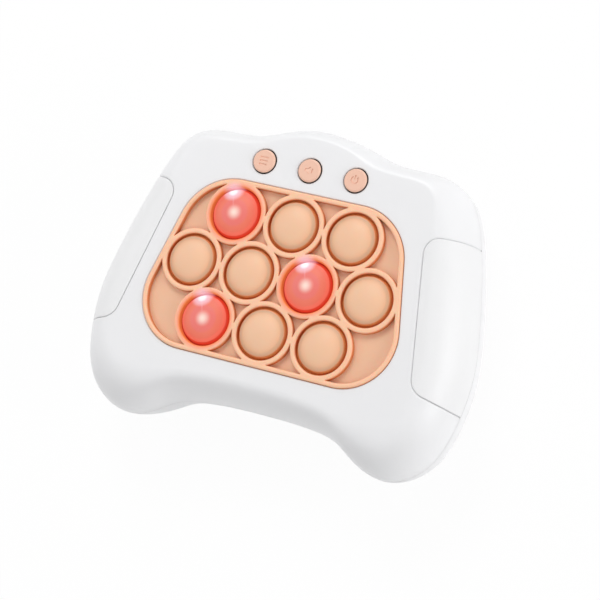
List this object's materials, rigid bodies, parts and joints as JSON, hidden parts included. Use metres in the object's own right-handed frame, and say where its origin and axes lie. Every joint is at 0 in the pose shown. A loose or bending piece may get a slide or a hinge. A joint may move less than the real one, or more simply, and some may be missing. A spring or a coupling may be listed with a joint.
{
  "type": "electronic bubble pop game",
  "caption": "Hand-held electronic game shaped like a game pad, with press-in silicone bubbles that light up and round push buttons above them.",
  "frame": {"origin": "under the middle of the casing, on the flat back that it rests on", "axes": "+X to the right grip, +Y to the edge with the three buttons, +Z out of the face with the bubbles"},
  "size_m": [0.159, 0.125, 0.0462],
  "materials": {
    "casing": "satin",
    "grip": "satin",
    "silicone": "satin",
    "button": "satin",
    "light_cap": "satin",
    "inner_plastic": "matte",
    "board": "satin",
    "led": "gloss",
    "switch": "matte",
    "cell": "satin",
    "contact": "satin",
    "speaker_steel": "satin",
    "paper": "matte",
    "screw": "satin",
    "lead": "matte"
  },
  "bodies": {
    "casing": {"batteries": "cell", "battery_contacts": "contact", "battery_door": "casing", "battery_door_screw": "screw", "battery_leads": "lead", "battery_springs": "contact", "board_screws": "screw", "bottom_shell": "casing", "bubble_panel": "silicone", "case_screws": "screw", "circuit_board": "board", "controller_chip": "switch", "guide_tray": "inner_plastic", "leds": "led", "left_grip_panel": "grip", "right_grip_panel": "grip", "speaker_cone": "paper", "speaker_frame": "speaker_steel", "speaker_leads": "lead", "tact_switches": "switch", "top_shell": "casing", "tray_screws": "screw"},
    "bubble_top_1": {"dome_top_1": "silicone", "light_cap_top_1": "light_cap"},
    "bubble_top_2": {"dome_top_2": "silicone", "light_cap_top_2": "light_cap"},
    "bubble_top_3": {"dome_top_3": "silicone", "light_cap_top_3": "light_cap"},
    "bubble_middle_1": {"dome_middle_1": "silicone", "light_cap_middle_1": "light_cap"},
    "bubble_middle_2": {"dome_middle_2": "silicone", "light_cap_middle_2": "light_cap"},
    "bubble_middle_3": {"dome_middle_3": "silicone", "light_cap_middle_3": "light_cap"},
    "bubble_middle_4": {"dome_middle_4": "silicone", "light_cap_middle_4": "light_cap"},
    "bubble_bottom_1": {"dome_bottom_1": "silicone", "light_cap_bottom_1": "light_cap"},
    "bubble_bottom_2": {"dome_bottom_2": "silicone", "light_cap_bottom_2": "light_cap"},
    "bubble_bottom_3": {"dome_bottom_3": "silicone", "light_cap_bottom_3": "light_cap"},
    "menu_key": {"menu_button": "button"},
    "sound_key": {"sound_button": "button"},
    "power_key": {"power_button": "button"}
  },
  "joints": [
    {"name": "press_top_1", "type": "slide", "parent": "casing", "child": "bubble_top_1", "axis": [0, 0, -1], "range_m": [0, 0.003], "stiffness_N_per_m": 1200},
    {"name": "press_top_2", "type": "slide", "parent": "casing", "child": "bubble_top_2", "axis": [0, 0, -1], "range_m": [0, 0.003], "stiffness_N_per_m": 1200},
    {"name": "press_top_3", "type": "slide", "parent": "casing", "child": "bubble_top_3", "axis": [0, 0, -1], "range_m": [0, 0.003], "stiffness_N_per_m": 1200},
    {"name": "press_middle_1", "type": "slide", "parent": "casing", "child": "bubble_middle_1", "axis": [0, 0, -1], "range_m": [0, 0.003], "stiffness_N_per_m": 1200},
    {"name": "press_middle_2", "type": "slide", "parent": "casing", "child": "bubble_middle_2", "axis": [0, 0, -1], "range_m": [0, 0.003], "stiffness_N_per_m": 1200},
    {"name": "press_middle_3", "type": "slide", "parent": "casing", "child": "bubble_middle_3", "axis": [0, 0, -1], "range_m": [0, 0.003], "stiffness_N_per_m": 1200},
    {"name": "press_middle_4", "type": "slide", "parent": "casing", "child": "bubble_middle_4", "axis": [0, 0, -1], "range_m": [0, 0.003], "stiffness_N_per_m": 1200},
    {"name": "press_bottom_1", "type": "slide", "parent": "casing", "child": "bubble_bottom_1", "axis": [0, 0, -1], "range_m": [0, 0.003], "stiffness_N_per_m": 1200},
    {"name": "press_bottom_2", "type": "slide", "parent": "casing", "child": "bubble_bottom_2", "axis": [0, 0, -1], "range_m": [0, 0.003], "stiffness_N_per_m": 1200},
    {"name": "press_bottom_3", "type": "slide", "parent": "casing", "child": "bubble_bottom_3", "axis": [0, 0, -1], "range_m": [0, 0.003], "stiffness_N_per_m": 1200},
    {"name": "press_menu", "type": "slide", "parent": "casing", "child": "menu_key", "axis": [0, 0, -1], "range_m": [0, 0.0008], "stiffness_N_per_m": 2000},
    {"name": "press_sound", "type": "slide", "parent": "casing", "child": "sound_key", "axis": [0, 0, -1], "range_m": [0, 0.0008], "stiffness_N_per_m": 2000},
    {"name": "press_power", "type": "slide", "parent": "casing", "child": "power_key", "axis": [0, 0, -1], "range_m": [0, 0.0008], "stiffness_N_per_m": 2000}
  ]
}
